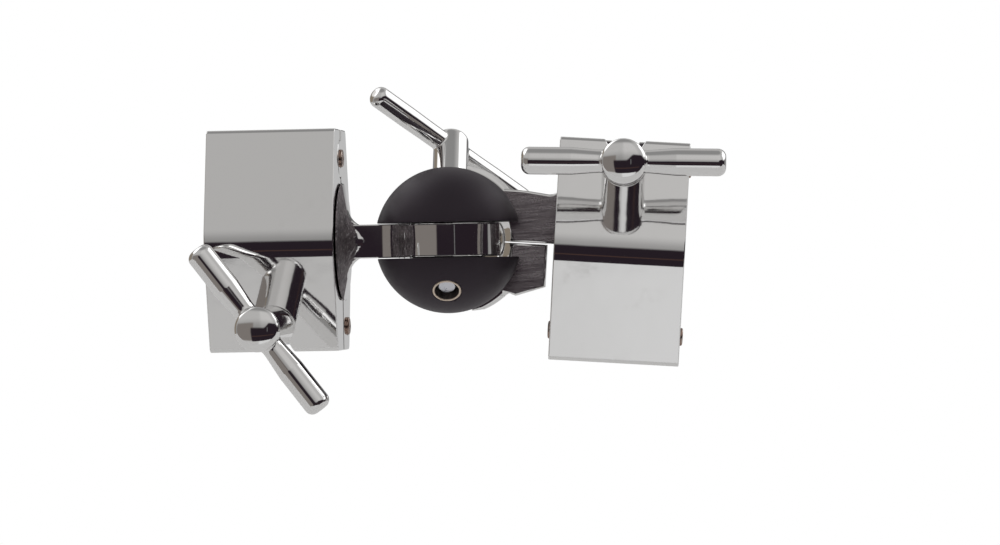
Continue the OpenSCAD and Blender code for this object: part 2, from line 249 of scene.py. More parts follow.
class Graph:
    """Short hand for one node tree: makes nodes, links them and places them in a row."""

    def __init__(self, tree):
        self.tree = tree

    def node(self, kind, **settings):
        made = self.tree.nodes.new(kind)
        made.location = (180 * len(self.tree.nodes), 0)
        for key, value in settings.items():
            setattr(made, key, value)
        return made

    def feed(self, socket, value):
        if isinstance(value, bpy.types.NodeSocket):
            self.tree.links.new(value, socket)
        else:
            socket.default_value = value

    def object_place(self):
        return self.node("ShaderNodeTexCoord").outputs["Object"]

    def math(self, operation, *values):
        made = self.node("ShaderNodeMath", operation=operation)
        for socket, value in zip(made.inputs, values):
            self.feed(socket, value)
        return made.outputs[0]

    def times(self, a, b):
        return self.math("MULTIPLY", a, b)

    def plus(self, a, b):
        return self.math("ADD", a, b)

    def ramp(self, value, low, high, to=(0.0, 1.0)):
        """Smooth step from to[0] at low to to[1] at high."""
        made = self.node("ShaderNodeMapRange", interpolation_type="SMOOTHSTEP")
        self.feed(made.inputs["Value"], value)
        self.feed(made.inputs["From Min"], low)
        self.feed(made.inputs["From Max"], high)
        self.feed(made.inputs["To Min"], to[0])
        self.feed(made.inputs["To Max"], to[1])
        return made.outputs[0]

    def window(self, value, low, high, soft):
        """1 between low and high, falling to 0 over the width soft outside."""
        rise = self.ramp(value, low - soft, low)
        fall = self.ramp(value, high, high + soft, to=(1.0, 0.0))
        return self.times(rise, fall)

    def mix(self, share, a, b):
        made = self.node("ShaderNodeMix", data_type="RGBA")
        self.feed(made.inputs[0], share)
        self.feed(made.inputs[6], a)
        self.feed(made.inputs[7], b)
        return made.outputs[2]

    def noise(self, place, scale, detail=2.0, rough=0.5):
        made = self.node("ShaderNodeTexNoise")
        self.feed(made.inputs["Vector"], place)
        self.feed(made.inputs["Scale"], scale)
        made.inputs["Detail"].default_value = detail
        made.inputs["Roughness"].default_value = rough
        return made.outputs["Fac"]

    def spot(self, side, level, at, radius):
        """1 in a soft round spot of the surroundings, given by its azimuth and height in degrees."""
        narrow = math.cos(math.radians(at[1]))
        across = self.times(self.math("SUBTRACT", side, at[0]), narrow)
        up = self.math("SUBTRACT", level, at[1])
        squares = self.plus(self.times(across, across), self.times(up, up))
        return self.ramp(self.math("SQRT", squares), radius * 0.5, radius, to=(1.0, 0.0))


def grey(v, warm=0.0):
    return (v * (1 + warm), v, v * (1 - warm), 1)


# Studio. Azimuths and heights are in degrees as the object sees them: azimuth 0 is in front of it,
# and azimuths grow towards the picture's right. Patches are painted over each other in this order,
# with the dark room before the last two. Each one has an azimuth span and a height span, given as
# from, to and width of the soft edge, and its colour.

SCREENS = [
    ((-150, -104, 8), (28, 60, 10), grey(1.15)),              # white screen behind at the left
    ((84, 148, 6), (14, 42, 4), grey(1.15)),                  # white screen behind at the right
]
# The two patches right behind the object are the same at both sides
BEHIND = [
    ((160, 200, 15), (5, 20, 3), grey(0.12)),                 # dark skirting
    ((166, 200, 10), (-12, 2, 3), grey(0.52)),                # grey wall
]
# Lamps behind the screens: azimuth and height, radius, brightness
LAMPS = [((-107, 43), 24, 1.6), ((114, 34), 20, 2.0)]
WALLS = [
    ((-143, -95, 1.5), (-25, 25, 10), (0.24, 0.205, 0.165, 1)),   # warm wall at the left
    ((-172, -78, 6), (-88, -16, 6), (0.135, 0.112, 0.105, 1)),    # bench below it
    ((-76, -16, 4), (-24, 12, 6), (0.205, 0.185, 0.172, 1)),      # nearer wall at the left
    ((2, 36, 8), (-75, -29, 2), grey(0.70)),                      # pale floor at the right
    ((46, 84, 4), (-80, -10, 6), (0.125, 0.104, 0.100, 1)),       # shade beside it
]
LINES = [
    ((-16, 48, 3), (-15.5, -14.5, 1.0), (0.060, 0.035, 0.030, 1)),   # thin brown line across the room
    ((19.4, 20.4, 0.8), (-5, 4, 2), grey(0.16)),                     # upright in the room
]
WARM = 0.015
FAINT_WARM = 0.01
TENT_FADE = (3, 30)
TENT_LEFT = (grey(0.28, WARM), grey(0.47, WARM))
TENT_RIGHT = (grey(0.34, WARM), grey(0.56, WARM))
TENT_TOP = grey(0.26, FAINT_WARM)
GROUND = (grey(0.48, FAINT_WARM), grey(0.52, FAINT_WARM))
ROOM = (0.020, 0.014, 0.019, 1)


def paint_patches(g, lit, patches, across, level):
    """Lays soft-edged patches over the surroundings, in their order."""
    for across_span, up_span, colour in patches:
        mask = g.times(g.window(across, *across_span), g.window(level, *up_span))
        lit = g.mix(mask, lit, colour)
    return lit


def add_studio():
    """White surroundings for the lens, and for the metal a grey tent with screens, walls and a dark room."""
    world = bpy.data.worlds.new("studio")
    world.use_nodes = True
    bpy.context.scene.world = world
    tree = world.node_tree
    tree.nodes.clear()
    g = Graph(tree)
    split = g.node("ShaderNodeSeparateXYZ")
    g.feed(split.inputs[0], g.node("ShaderNodeTexCoord").outputs["Generated"])
    x, y, z = split.outputs
    level = g.math("DEGREES", g.math("ARCSINE", z))
    side = g.math("DEGREES", g.math("ARCTAN2", x, g.times(y, -1.0)))
    turned = g.math("ABSOLUTE", side)

    # Grey tent: brighter at the front right, darker overhead, over a pale ground
    higher = g.ramp(level, *TENT_FADE)
    front_right = g.times(g.ramp(side, -3, 9), g.ramp(turned, 40, 60, to=(1.0, 0.0)))
    above = g.mix(front_right, g.mix(higher, *TENT_LEFT), g.mix(higher, *TENT_RIGHT))
    above = g.mix(g.ramp(level, 52, 76), above, TENT_TOP)
    below = g.mix(g.ramp(level, -60, -28), *GROUND)
    lit = g.mix(g.ramp(level, -22, -6), below, above)

    lit = paint_patches(g, lit, SCREENS, side, level)
    lit = paint_patches(g, lit, BEHIND, turned, level)
    for at, radius, glow in LAMPS:
        lit = g.mix(g.spot(side, level, at, radius), lit, grey(glow))
    lit = paint_patches(g, lit, WALLS, side, level)

    # Dark room round the lens; its upper edge rises from 1 to 14 degrees at the right, then falls by 9
    top = g.ramp(side, 8, 30, to=(1.0, 14.0))
    top = g.plus(top, g.ramp(side, 62, 84, to=(0.0, -9.0)))
    over_floor = g.ramp(level, -29.5, -28.3)
    under_top = g.ramp(g.math("SUBTRACT", level, top), 0.0, 5.0, to=(1.0, 0.0))
    room = g.times(g.times(over_floor, under_top), g.window(side, -18, 104, 4))
    lit = g.mix(room, lit, ROOM)
    lit = paint_patches(g, lit, LINES, side, level)

    seen = g.node("ShaderNodeLightPath").outputs["Is Camera Ray"]
    shine = g.node("ShaderNodeBackground")
    g.feed(shine.inputs["Color"], g.mix(seen, lit, grey(1.0)))
    out = g.node("ShaderNodeOutputWorld")
    g.feed(out.inputs[0], shine.outputs[0])


# Floor, in metres from the ball's centre

FLOOR_DROP = 0.32
FLOOR_FRONT = 0.40
FLOOR_BACK = 2.5
FLOOR_HALF = 1.8
FLOOR_ROUGH = 0.7


def add_floor():
    """Pale sheet that lies under the object and runs away behind it."""
    mesh = bpy.data.meshes.new("floor")
    floor = bpy.data.objects.new("floor", mesh)
    bm = bmesh.new()
    bmesh.ops.create_grid(bm, x_segments=1, y_segments=1, size=1.0)
    middle = (FLOOR_BACK - FLOOR_FRONT) / 2
    bmesh.ops.scale(bm, verts=bm.verts, vec=(FLOOR_HALF, (FLOOR_BACK + FLOOR_FRONT) / 2, 1))
    bmesh.ops.translate(bm, verts=bm.verts, vec=ball_centre + Vector((0, middle, -FLOOR_DROP)))
    bm.to_mesh(mesh)
    bm.free()
    bpy.context.scene.collection.objects.link(floor)
    paint, g, shader = new_finish("floor_paint", 0.0)
    g.feed(shader.inputs["Base Color"], g.mix(g.noise(g.object_place(), 6.0), grey(0.86), grey(0.90)))
    shader.inputs["Roughness"].default_value = FLOOR_ROUGH
    mesh.materials.append(paint)


# Effects that several finishes share. Noise sizes are in patches or lines per metre.

def effect(name, inputs, output):
    """Empty node group with an Object place, the named numbers and one output value."""
    tree = bpy.data.node_groups.new(name, "ShaderNodeTree")
    for label, value in inputs.items():
        made = tree.interface.new_socket(label, in_out="INPUT", socket_type="NodeSocketFloat")
        made.default_value = value
    tree.interface.new_socket(output, in_out="OUTPUT", socket_type="NodeSocketFloat")
    g = Graph(tree)
    given = g.node("NodeGroupInput")
    return tree, g, given.outputs, g.object_place()


def close_effect(g, value):
    out = g.node("NodeGroupOutput")
    g.feed(out.inputs[0], value)


def smudge_effect():
    """Mask of handling marks: broad cloudy patches broken by finer ones."""
    tree, g, given, place = effect("handling_smudges", {"Size per m": 40.0, "Sharpness": 0.5}, "Mask")
    finer, broad_share, fine_share = 9.0, 0.7, 0.3
    broad = g.noise(place, given["Size per m"], detail=3.0, rough=0.6)
    fine = g.noise(place, g.times(given["Size per m"], finer), detail=4.0, rough=0.65)
    both = g.plus(g.times(broad, broad_share), g.times(fine, fine_share))
    low = g.math("SUBTRACT", 0.62, g.times(given["Sharpness"], 0.12))
    close_effect(g, g.ramp(both, low, 0.70))
    return tree


def ripple_effect():
    """Height of the slow waves and fine pits that plating leaves on a casting."""
    tree, g, given, place = effect("plating_ripple", {"Waves per m": 120.0, "Pits": 0.2}, "Height")
    pits_per_wave = 16.0
    waves = g.noise(place, given["Waves per m"], detail=1.0, rough=0.4)
    pits = g.noise(place, g.times(given["Waves per m"], pits_per_wave), detail=3.0, rough=0.6)
    close_effect(g, g.plus(waves, g.times(pits, given["Pits"])))
    return tree


def wear_effect():
    """Mask of rubbed edges: the rounded edge faces, broken up by noise."""
    tree, g, given, place = effect("rubbed_edges", {"Break up": 0.5}, "Mask")
    edge = g.node("ShaderNodeAttribute", attribute_name="edge").outputs["Fac"]
    patch = g.noise(place, 350.0, detail=4.0, rough=0.7)
    worn = g.ramp(patch, g.times(given["Break up"], 0.8), 0.72)
    close_effect(g, g.times(edge, worn))
    return tree


def grain_effect():
    """Height of fine lines that run along X, as a belt leaves them."""
    tree, g, given, place = effect("belt_grain", {"Lines per m": 1500.0, "Tilt": 0.0}, "Height")
    stretch, longer, fine_share, long_share = 28.0, 0.35, 0.6, 0.4
    turn = g.node("ShaderNodeVectorRotate", rotation_type="Y_AXIS")
    g.feed(turn.inputs["Vector"], place)
    g.feed(turn.inputs["Angle"], given["Tilt"])
    squeeze = g.node("ShaderNodeMapping", vector_type="TEXTURE")
    squeeze.inputs["Scale"].default_value = (stretch, 1.0, 1.0)
    g.feed(squeeze.inputs["Vector"], turn.outputs[0])
    lines = g.noise(squeeze.outputs[0], given["Lines per m"], detail=5.0, rough=0.7)
    long_lines = g.noise(squeeze.outputs[0], g.times(given["Lines per m"], longer), detail=3.0, rough=0.6)
    close_effect(g, g.plus(g.times(lines, fine_share), g.times(long_lines, long_share)))
    return tree


SMUDGES = smudge_effect()
RIPPLE = ripple_effect()
WEAR = wear_effect()
GRAIN = grain_effect()


# Finishes. Bump depths are in metres.

def new_finish(name, metallic):
    """Material with its graph and shader ready to be fed."""
    finish = bpy.data.materials.new(name)
    finish.use_nodes = True
    shader = finish.node_tree.nodes["Principled BSDF"]
    shader.inputs["Metallic"].default_value = metallic
    return finish, Graph(finish.node_tree), shader


def use(g, tree, **values):
    """Output of a shared effect, with its inputs given by name."""
    made = g.node("ShaderNodeGroup")
    made.node_tree = tree
    for label, value in values.items():
        g.feed(made.inputs[label.replace("_", " ")], value)
    return made.outputs[0]


def bump(g, shader, height, depth):
    made = g.node("ShaderNodeBump")
    made.inputs["Strength"].default_value = 1.0
    made.inputs["Distance"].default_value = depth
    g.feed(made.inputs["Height"], height)
    g.feed(shader.inputs["Normal"], made.outputs[0])


def plated(name, tone, rough, smudge_size, ripple_depth, waves):
    """Bright plating with slow ripples, faint handling marks and duller rubbed edges."""
    finish, g, shader = new_finish(name, 1.0)
    marks = use(g, SMUDGES, Size_per_m=smudge_size, Sharpness=0.6)
    worn = use(g, WEAR, Break_up=0.55)
    clean, marked = grey(tone, 0.004), grey(tone * 0.965, 0.008)
    g.feed(shader.inputs["Base Color"], g.mix(marks, clean, marked))
    dull = g.plus(g.times(marks, 0.03), g.times(worn, 0.10))
    g.feed(shader.inputs["Roughness"], g.plus(dull, rough))
    bump(g, shader, use(g, RIPPLE, Waves_per_m=waves, Pits=0.06), ripple_depth)
    return finish


def rough_casting():
    """The unpolished skin of the bores and of the closing plate's front, with slanting file strokes."""
    finish, g, shader = new_finish("rough_casting", 0.6)
    dark, light, filed = (0.13, 0.11, 0.12, 1), (0.30, 0.26, 0.27, 1), (0.62, 0.58, 0.60, 1)
    place = g.object_place()
    slant = g.node("ShaderNodeMapping", vector_type="TEXTURE")
    slant.inputs["Rotation"].default_value = (0, math.radians(-50), 0)
    slant.inputs["Scale"].default_value = (5.0, 1.0, 1.0)
    g.feed(slant.inputs["Vector"], place)
    strokes = g.noise(slant.outputs[0], 1300.0, detail=3.0, rough=0.6)
    coarse = g.noise(place, 420.0, detail=6.0, rough=0.7)
    fine = g.noise(place, 1600.0, detail=4.0, rough=0.7)
    skin = g.mix(g.ramp(coarse, 0.35, 0.7), dark, light)
    g.feed(shader.inputs["Base Color"], g.mix(g.ramp(strokes, 0.55, 0.68), skin, filed))
    g.feed(shader.inputs["Roughness"], g.ramp(fine, 0.3, 0.7, to=(0.38, 0.60)))
    bump(g, shader, g.plus(strokes, g.times(fine, 0.5)), 0.0003)
    return finish


def belt_finish():
    """Flat arm faces, ground with a belt and then plated."""
    finish, g, shader = new_finish("belt_ground_plate", 1.0)
    groove, crest = (0.60, 0.54, 0.56, 1), (0.76, 0.71, 0.73, 1)
    lines = use(g, GRAIN, Lines_per_m=1100.0, Tilt=math.radians(4.2))
    marks = use(g, SMUDGES, Size_per_m=70.0, Sharpness=0.5)
    g.feed(shader.inputs["Base Color"], g.mix(g.ramp(lines, 0.36, 0.66), groove, crest))
    rough = g.ramp(lines, 0.35, 0.65, to=(0.16, 0.30))
    g.feed(shader.inputs["Roughness"], g.plus(rough, g.times(marks, 0.05)))
    bump(g, shader, lines, 0.00006)
    return finish


def pin_finish():
    """Coppery heat colour on the steel pins, rubbed brighter on their rims."""
    finish, g, shader = new_finish("blued_pin_steel", 1.0)
    dark, light, rubbed = (0.25, 0.165, 0.13, 1), (0.36, 0.25, 0.205, 1), (0.62, 0.56, 0.52, 1)
    cloud = g.ramp(g.noise(g.object_place(), 300.0, detail=3.0), 0.35, 0.65)
    marks = use(g, SMUDGES, Size_per_m=260.0, Sharpness=0.7)
    worn = use(g, WEAR, Break_up=0.5)
    g.feed(shader.inputs["Base Color"], g.mix(worn, g.mix(cloud, dark, light), rubbed))
    g.feed(shader.inputs["Roughness"], g.plus(g.times(marks, 0.15), 0.24))
    bump(g, shader, use(g, RIPPLE, Waves_per_m=500.0, Pits=0.5), 0.00002)
    return finish


def zinc_finish():
    """Zinc plate on the bolts, cool and a little cloudy."""
    finish, g, shader = new_finish("zinc_plate", 1.0)
    clean, cloudy = (0.72, 0.73, 0.78, 1), (0.55, 0.57, 0.63, 1)
    marks = use(g, SMUDGES, Size_per_m=300.0, Sharpness=0.6)
    worn = use(g, WEAR, Break_up=0.5)
    g.feed(shader.inputs["Base Color"], g.mix(worn, g.mix(marks, clean, cloudy), grey(0.8)))
    g.feed(shader.inputs["Roughness"], g.plus(g.times(marks, 0.16), 0.22))
    bump(g, shader, use(g, RIPPLE, Waves_per_m=400.0, Pits=0.6), 0.00002)
    return finish


def insert_finish():
    """Turned soft metal of the insert: pale tan, finely speckled and smudged darker."""
    finish, g, shader = new_finish("turned_insert", 0.75)
    dark, light, smudged = (0.76, 0.62, 0.50, 1), (0.88, 0.77, 0.66, 1), (0.48, 0.38, 0.30, 1)
    speck = g.noise(g.object_place(), 2200.0, detail=4.0, rough=0.7)
    marks = use(g, SMUDGES, Size_per_m=400.0, Sharpness=0.6)
    tone = g.mix(g.ramp(speck, 0.35, 0.65), dark, light)
    g.feed(shader.inputs["Base Color"], g.mix(marks, tone, smudged))
    g.feed(shader.inputs["Roughness"], g.ramp(speck, 0.3, 0.7, to=(0.30, 0.48)))
    bump(g, shader, speck, 0.00004)
    return finish


def insert_thread_shade_finish():
    """The insert's thread, painted near black as the shade inside the insert's bore, mottled a little lighter."""
    finish, g, shader = new_finish("thread_painted_shade", 0.5)
    dark, light = (0.035, 0.03, 0.03, 1), (0.12, 0.10, 0.09, 1)
    shade_mottle = g.noise(g.object_place(), 900.0, detail=5.0, rough=0.7)
    g.feed(shader.inputs["Base Color"], g.mix(g.ramp(shade_mottle, 0.35, 0.7), dark, light))
    g.feed(shader.inputs["Roughness"], g.ramp(shade_mottle, 0.3, 0.7, to=(0.30, 0.55)))
    bump(g, shader, shade_mottle, 0.0001)
    return finish


def nylon_finish():
    """Black glass-filled nylon: satin, finely pebbled and faintly scuffed."""
    finish, g, shader = new_finish("black_nylon", 0.0)
    clean, scuffed, rubbed = (0.0290, 0.0225, 0.0300, 1), (0.034, 0.027, 0.035, 1), (0.04, 0.036, 0.04, 1)
    pebble = g.noise(g.object_place(), 2600.0, detail=3.0, rough=0.6)
    scuff = use(g, SMUDGES, Size_per_m=55.0, Sharpness=0.6)
    worn = use(g, WEAR, Break_up=0.6)
    shader.inputs["Specular IOR Level"].default_value = 0.34
    shader.inputs["Specular Tint"].default_value = (1.0, 0.86, 0.98, 1)
    g.feed(shader.inputs["Base Color"], g.mix(worn, g.mix(scuff, clean, scuffed), rubbed))
    g.feed(shader.inputs["Roughness"], g.plus(g.times(scuff, 0.06), 0.46))
    bump(g, shader, pebble, 0.00003)
    return finish


CHROME = plated(
    "casting_chrome", tone=0.86, rough=0.045, smudge_size=38.0, ripple_depth=0.00003, waves=110.0)
HANDLE_CHROME = plated(
    "handle_chrome", tone=0.88, rough=0.05, smudge_size=60.0, ripple_depth=0.00002, waves=150.0)
ROUGH = rough_casting()
BELT = belt_finish()
PIN = pin_finish()
ZINC = zinc_finish()
INSERT = insert_finish()
# Painted shade for the thread inside the insert's bore
THREAD = insert_thread_shade_finish()
NYLON = nylon_finish()


# Pieces

def new_piece(name, bm, node, finishes):
    """Turns a finished bmesh into a piece that stands for a CAD node and rides on its body."""
    mesh = bpy.data.meshes.new(name)
    for face in bm.faces:
        face.smooth = True
    bm.to_mesh(mesh)
    bm.free()
    for finish in finishes:
        mesh.materials.append(finish)
    piece = bpy.data.objects.new(name, mesh)
    bpy.context.scene.collection.objects.link(piece)
    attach(piece, body_of[node])
    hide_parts(node)
    return piece


def even_shading(piece):
    made = piece.modifiers.new("even_shading", "WEIGHTED_NORMAL")
    made.mode = "FACE_AREA"
    made.keep_sharp = True


# Castings and ball halves: copies of the CAD nodes with rounded edges

def worked(name, node, width_at, finishes, paint=None):
    """Copy of a CAD node with its sharp edges rounded over.

    width_at(edge) gives a sharp edge's width in mm; paint(face) gives the number of a face's finish.
    """
    bm = bmesh.new()
    bm.from_mesh(frame["nodes"][node].data)
    bmesh.ops.remove_doubles(bm, verts=bm.verts, dist=MERGE_M)
    bmesh.ops.dissolve_limit(bm, angle_limit=FLAT, verts=bm.verts, edges=bm.edges)
    rim = bm.faces.layers.float.new("edge")
    groups = {}
    for edge in bm.edges:
        if len(edge.link_faces) == 2 and edge.calc_face_angle(0) > SHARP:
            groups.setdefault(width_at(edge), []).append(edge)
    for width in sorted(groups, reverse=True):
        edges = [edge for edge in groups[width] if edge.is_valid]
        made = bmesh.ops.bevel(
            bm, geom=edges, offset=width * MM, offset_type="OFFSET", segments=EDGE_SEGMENTS, profile=0.5,
            affect="EDGES", clamp_overlap=False, material=-1)
        for face in made["faces"]:
            face[rim] = 1.0
    if paint:
        for face in bm.faces:
            face.material_index = paint(face)
    piece = new_piece(name, bm, node, finishes)
    even_shading(piece)


def even(width):
    """The same width for every edge."""
    return lambda edge: width


def seen_from(matrix, face):
    """A face's middle and normal in a local frame."""
    inverse = matrix.inverted()
    return inverse @ face.calc_center_median(), (inverse.to_3x3() @ face.normal).normalized()


def in_bore(side, face):
    """True where a face is part of a clamp's round bore."""
    at, normal = seen_from(CLAMP[side], face)
    out = Vector((0, at.y, at.z))
    near = BORE_BAND[0] < out.length < BORE_BAND[1]
    return near and out.normalized().dot(normal) < BORE_INWARD and abs(normal.x) < BORE_LEAN


def front_paint(side):
    """Rough in the bore of a front jaw."""
    return lambda face: int(in_bore(side, face))


def tongue_paint(face):
    """Rough in the bore and on the front of the closing plate and its fillet."""
    if in_bore("left", face):
        return 1
    at, normal = seen_from(CLAMP["left"], face)
    on_plate = PLATE_X[0] < at.x < PLATE_X[1] and math.hypot(at.y, at.z) < PLATE_R
    outward = normal.x > PLATE_OUTWARD or at.x < PLATE_RIM_X
    return int(on_plate and at.y < PLATE_ROUGH_TO and outward)


def yoke_width(edge):
    """Wider rounding on the arms' outlines than on the block, and little on the cup's thin rims."""
    at = CUP.inverted() @ ((edge.verts[0].co + edge.verts[1].co) / 2)
    if at.x < CUP_TO_X:
        return CUP_EDGE
    return ARM_EDGE if abs(at.y - ARM_FACE_Y) < ARM_EDGE_NEAR else BLOCK_EDGE


def yoke_paint(face):
    """Rough in the bore, belt-ground on the arms' flat fronts."""
    if in_bore("right", face):
        return 1
    at, normal = seen_from(CUP, face)
    return 2 if abs(at.y - ARM_FACE_Y) < ARM_FACE_NEAR and normal.y < ARM_FORWARD else 0


worked("left_back_casting", "tongue_jaw", even(BLOCK_EDGE), [CHROME, ROUGH], tongue_paint)
worked("left_front_casting", "left_front_jaw", even(BLOCK_EDGE), [CHROME, ROUGH], front_paint("left"))
worked("right_front_casting", "right_front_jaw", even(BLOCK_EDGE), [CHROME, ROUGH], front_paint("right"))
worked("right_back_casting", "yoke_jaw", yoke_width, [CHROME, ROUGH, BELT], yoke_paint)
worked("ball_lower", "ball_lower_half", even(BALL_EDGE), [NYLON])
worked("ball_upper", "ball_upper_half", even(BALL_EDGE), [NYLON])
worked("saddle_ring", "saddle_washer", even(SADDLE_EDGE), [ZINC])


# Cast handles: closed skins fused into one and laid on an exact surface

def lathe(bm, outline, steps=LATHE_STEPS):
    """Spins a [radius, height] outline about Z into a closed skin."""
    verts = [bm.verts.new((r, 0, z)) for r, z in outline]
    edges = [bm.edges.new(pair) for pair in zip(verts, verts[1:])]
    bmesh.ops.spin(
        bm, geom=verts + edges, cent=(0, 0, 0), axis=(0, 0, 1), dvec=(0, 0, 0), angle=2 * math.pi,
        steps=steps, use_merge=True, use_duplicate=False)
    bmesh.ops.remove_doubles(bm, verts=bm.verts, dist=WELD)
    bmesh.ops.recalc_face_normals(bm, faces=bm.faces)


def arc(r, z, radius, start, end, steps=6):
    """Points of an arc in an outline, about (r, z), from one angle in degrees to another."""
    angles = [math.radians(start + (end - start) / steps * i) for i in range(steps + 1)]
    return [(r + radius * math.cos(a), z + radius * math.sin(a)) for a in angles]


def slope_of(form, points, away):
    """Gradient of a distance at each point, from small steps along the axes."""
    return np.stack([(form(points + step) - away) / LAY_STEP for step in LAY_STEP * np.eye(3)], axis=1)


def fuse(name, shells, form):
    """Joins closed skins into one with even faces, then lays each point on the surface where form is 0."""
    whole = bmesh.new()
    for shell in shells:
        part = bpy.data.meshes.new("shell")
        shell.to_mesh(part)
        shell.free()
        whole.from_mesh(part)
        bpy.data.meshes.remove(part)
    mesh = bpy.data.meshes.new(name + "_parts")
    whole.to_mesh(mesh)
    whole.free()
    block = bpy.data.objects.new(name + "_parts", mesh)
    bpy.context.scene.collection.objects.link(block)
    skin = block.modifiers.new("skin", "REMESH")
    skin.mode = "VOXEL"
    skin.voxel_size = VOXEL
    ease = block.modifiers.new("ease", "SMOOTH")
    ease.factor = EASE
    ease.iterations = EASE_ROUNDS
    graph = bpy.context.evaluated_depsgraph_get()
    fused = bmesh.new()
    fused.from_object(block, graph)
    bpy.data.objects.remove(block)
    bpy.data.meshes.remove(mesh)
    points = np.array([vert.co for vert in fused.verts])
    for _ in range(LAY_ROUNDS):
        away = form(points)
        slope = slope_of(form, points, away)
        steepness = np.maximum((slope ** 2).sum(axis=1), LEAST_SLOPE)
        points -= (np.clip(away, -VOXEL, VOXEL) / steepness)[:, None] * slope
    for vert, place in zip(fused.verts, points):
        vert.co = place
    return fused


def rounded_rod(across, along, radius, low, high, rounding):
    """Distance to a rod from low to high, of the given radius, with rounded rims."""
    out = across - radius + rounding
    past = np.abs(along - (low + high) / 2) - (high - low) / 2 + rounding
    outside = np.hypot(np.maximum(out, 0), np.maximum(past, 0))
    return outside + np.minimum(np.maximum(out, past), 0) - rounding


def blend(a, b, fillet):
    """Union of two distances with a fillet where they meet."""
    near = np.maximum(fillet - np.abs(a - b), 0)
    return np.minimum(a, b) - near ** 2 / (4 * fillet)


def bar_form(points, half, thick_r, neck_r, height, turn):
    """Distance to a bar across the axis at the given height, thinner in its middle."""
    a = math.radians(turn)
    along = points[:, 0] * math.cos(a) + points[:, 1] * math.sin(a)
    side = points[:, 1] * math.cos(a) - points[:, 0] * math.sin(a)
    across = np.hypot(side, points[:, 2] - height)
    inner = half - BAR_THICK_L - BAR_TAPER_L
    share = np.clip((np.abs(along) - inner) / BAR_TAPER_L, 0, 1)
    return rounded_rod(across, along, neck_r + (thick_r - neck_r) * share, -half, half, BAR_END_ROUND)


def bar_shell(half, thick_r, neck_r, height, turn):
    """Closed skin of the same bar."""
    bm = bmesh.new()
    end = BAR_END_ROUND
    outline = arc(thick_r - end, end - half, end, -90, 0)
    outline += [(thick_r, BAR_THICK_L - half), (neck_r, BAR_THICK_L + BAR_TAPER_L - half)]
    outline += [(r, -z) for r, z in reversed(outline)]
    lathe(bm, [(0, -half)] + outline + [(0, half)])
    turned = Matrix.Translation((0, 0, height)) @ Matrix.Rotation(math.radians(turn), 4, "Z")
    bm.transform(turned @ quarter("Y"))
    return bm


def dome_form(across, up, radius, height):
    """Distance to a flattened ball, near its surface."""
    share = np.hypot(across / radius, up / height)
    slope = np.hypot(across / radius ** 2, up / height ** 2)
    return share * (share - 1) / np.maximum(slope, 1e-6)


def wing_nut(side):
    """Hub, low domed head and bar, cast in one; built in mm with Z along the bolt."""
    bore_r = SHANK_R + SLACK
    bar_sizes = (NUT_BAR_L / 2, NUT_BAR_R, NUT_NECK_R, NUT_REACH, NUT_TURN[side])
    hub = bmesh.new()
    lathe(hub, [
        (0, NUT_BORE_END), (bore_r, NUT_BORE_END), (bore_r, NUT_BASE + NUT_SEAT_CUT),
        (SHANK_R + NUT_SEAT_CUT, NUT_BASE), (NUT_HUB_R, NUT_BASE),
        (NUT_HUB_R, NUT_HUB_TOP), (0, NUT_HUB_TOP)])
    head = bmesh.new()
    bmesh.ops.create_uvsphere(
        head, u_segments=NUT_HEAD_SEGMENTS, v_segments=NUT_HEAD_SEGMENTS // 2, radius=NUT_HEAD_R)
    bmesh.ops.scale(head, verts=head.verts, vec=(1, 1, NUT_HEAD_H / NUT_HEAD_R))
    bmesh.ops.translate(head, verts=head.verts, vec=(0, 0, NUT_HEAD_AT))

    def form(p):
        across = np.hypot(p[:, 0], p[:, 1])
        up = p[:, 2]
        stem = rounded_rod(across, up, NUT_HUB_R, NUT_BASE, NUT_HUB_TOP, BORE_ROUND)
        bore = rounded_rod(across, up, bore_r, NUT_BASE - BORE_PAST, NUT_BORE_END, BORE_ROUND)
        dome = dome_form(across, up - NUT_HEAD_AT, NUT_HEAD_R, NUT_HEAD_H)
        whole = blend(np.maximum(stem, -bore), dome, NUT_HEAD_FILLET)
        return blend(whole, bar_form(p, *bar_sizes), BAR_FILLET)

    fused = fuse(side + "_wing_nut", [hub, head, bar_shell(*bar_sizes)], form)
    fused.transform(CLAMP[side] @ Matrix.Translation((0, 0, BOLT_DROP[side])) @ quarter("X"))
    new_piece(side + "_wing_handle", fused, side + "_wing_nut", [HANDLE_CHROME])


